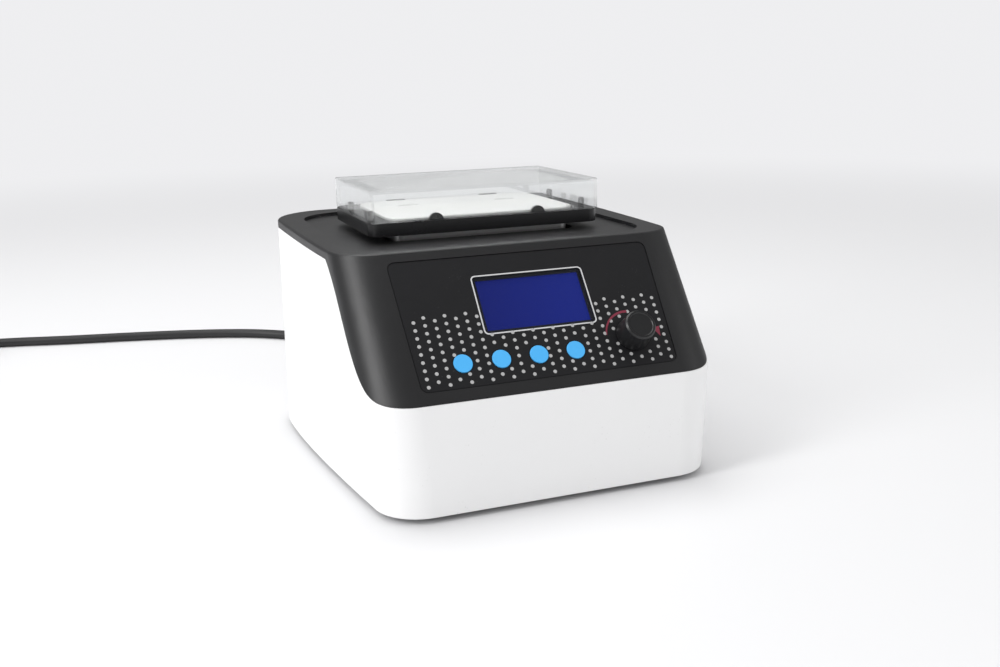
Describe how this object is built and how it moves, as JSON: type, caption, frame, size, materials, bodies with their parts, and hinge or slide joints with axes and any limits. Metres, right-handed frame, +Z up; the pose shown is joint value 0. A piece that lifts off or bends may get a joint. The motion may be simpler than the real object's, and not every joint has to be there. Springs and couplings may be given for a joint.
{
  "type": "laboratory thermal mixer",
  "caption": "Bench thermal mixer: sloped front panel, display, keys and knob over a wide base; an orbiting heated block under a clear lift-off lid, on a crank drive.",
  "frame": {"origin": "on the table under the middle of the housing's footprint", "axes": "+Z up, the sloped control panel faces -Y, +X to the right seen from the front"},
  "size_m": [0.5357, 0.5172, 0.1616],
  "materials": {
    "white_housing": "moulded ABS, light gloss",
    "black_cover": "moulded ABS, fine texture",
    "panel_sheet": "printed polyester sheet",
    "display_glass": "tinted acrylic",
    "display_blue": "display glass",
    "inner_black": "moulded",
    "button_blue": "moulded silicone or ABS",
    "knob_grey": "moulded, satin",
    "circuit_board": "solder mask",
    "component_black": "moulded",
    "steel": "turned or sheet steel",
    "aluminium": "anodised",
    "dark_aluminium": "anodised",
    "block_black": "moulded",
    "ceramic_white": "matt",
    "clear_plastic": "clear polycarbonate",
    "rubber_black": "moulded",
    "cord_black": "soft PVC",
    "brass_pins": "nickel-plated"
  },
  "bodies": {
    "housing": {"lower_housing": "white_housing", "top_cover": "black_cover", "control_overlay": "panel_sheet", "display_window": "display_glass", "display_bezel": "inner_black", "display_panel": "display_blue", "control_board": "circuit_board", "key_switches": "component_black", "encoder_body": "steel", "base_plate": "steel", "base_screws": "steel", "rubber_feet": "rubber_black", "board_spacers": "brass_pins", "main_board": "circuit_board", "power_board": "circuit_board", "power_transformer": "component_black", "power_capacitors": "component_black", "driver_heat_sink": "dark_aluminium", "drive_plate": "steel", "drive_pillars": "steel", "drive_motor": "dark_aluminium", "motor_bearings": "steel", "fan_frame": "inner_black", "power_inlet": "inner_black", "inlet_pins": "brass_pins", "switch_frame": "inner_black", "cord_connector": "cord_black", "power_cord": "cord_black", "cord_coil": "cord_black", "cord_tail": "cord_black", "mains_plug": "cord_black", "plug_pins": "brass_pins"},
    "drive": {"eccentric_shaft": "steel", "counterweight": "steel"},
    "mixing_table": {"moving_table": "aluminium", "table_bearing": "steel", "table_pillars": "steel", "heat_sink": "aluminium", "peltier_modules": "ceramic_white", "thermal_base": "aluminium", "block_frame": "block_black", "block_plate": "aluminium", "front_stops": "steel", "rear_clips": "steel", "side_guides": "steel"},
    "lid": {"clear_lid": "clear_plastic"},
    "idler_left": {"idler_left": "steel"},
    "idler_right": {"idler_right": "steel"},
    "idler_rear": {"idler_rear": "steel"},
    "fan": {"fan_rotor": "inner_black"},
    "encoder": {"encoder_rotor": "steel"},
    "knob": {"encoder_shaft": "steel", "knob": "knob_grey"},
    "program_button": {"button_program": "button_blue"},
    "temperature_button": {"button_temperature": "button_blue"},
    "time_button": {"button_time": "button_blue"},
    "speed_button": {"button_speed": "button_blue"},
    "rocker": {"power_rocker": "inner_black"},
    "drawer": {"fuse_drawer": "inner_black"}
  },
  "joints": [
    {"name": "drive_spin", "type": "hinge", "parent": "housing", "child": "drive", "pos_m": [0, 0.0203, 0.048], "axis": [0, 0, 1], "continuous": true},
    {"name": "table_orbit", "type": "hinge", "parent": "drive", "child": "mixing_table", "pos_m": [0, 0.0218, 0.089], "axis": [0, 0, 1], "continuous": true},
    {"name": "lid_lift", "type": "slide", "parent": "mixing_table", "child": "lid", "axis": [0, 0, 1], "range_m": [0, 0.06]},
    {"name": "fan_spin", "type": "hinge", "parent": "housing", "child": "fan", "pos_m": [0.031, 0.11231, 0.0831], "axis": [0, 0.9958, -0.0921], "continuous": true},
    {"name": "encoder_turn", "type": "hinge", "parent": "housing", "child": "encoder", "pos_m": [0.0515, -0.1051, 0.07931], "axis": [0, -0.7746, 0.6325], "continuous": true},
    {"name": "knob_press", "type": "slide", "parent": "encoder", "child": "knob", "axis": [0, 0.7746, -0.6325], "range_m": [0, 0.0005], "stiffness_N_per_m": 800},
    {"name": "power_rocker_tilt", "type": "hinge", "parent": "housing", "child": "rocker", "pos_m": [0, 0.11978, 0.04006], "axis": [1, 0, 0], "range_deg": [0, 24]},
    {"name": "fuse_drawer_slide", "type": "slide", "parent": "housing", "child": "drawer", "axis": [0, 0.9958, -0.0921], "range_m": [0, 0.018]},
    {"name": "idler_left_turn", "type": "hinge", "parent": "housing", "child": "idler_left", "pos_m": [-0.052, -0.0157, 0.064], "axis": [0, 0, 1], "continuous": true},
    {"name": "idler_right_turn", "type": "hinge", "parent": "housing", "child": "idler_right", "pos_m": [0.052, -0.0157, 0.064], "axis": [0, 0, 1], "continuous": true},
    {"name": "idler_rear_turn", "type": "hinge", "parent": "housing", "child": "idler_rear", "pos_m": [0, 0.0643, 0.064], "axis": [0, 0, 1], "continuous": true},
    {"name": "program_press", "type": "slide", "parent": "housing", "child": "program_button", "axis": [0, 0.7746, -0.6325], "range_m": [0, 0.0005], "stiffness_N_per_m": 500},
    {"name": "temperature_press", "type": "slide", "parent": "housing", "child": "temperature_button", "axis": [0, 0.7746, -0.6325], "range_m": [0, 0.0005], "stiffness_N_per_m": 500},
    {"name": "time_press", "type": "slide", "parent": "housing", "child": "time_button", "axis": [0, 0.7746, -0.6325], "range_m": [0, 0.0005], "stiffness_N_per_m": 500},
    {"name": "speed_press", "type": "slide", "parent": "housing", "child": "speed_button", "axis": [0, 0.7746, -0.6325], "range_m": [0, 0.0005], "stiffness_N_per_m": 500}
  ],
  "couplings": [
    {"joint": "table_orbit", "follows": "drive_spin", "ratio": -1},
    {"joint": "idler_left_turn", "follows": "drive_spin", "ratio": 1},
    {"joint": "idler_right_turn", "follows": "drive_spin", "ratio": 1},
    {"joint": "idler_rear_turn", "follows": "drive_spin", "ratio": 1}
  ]
}
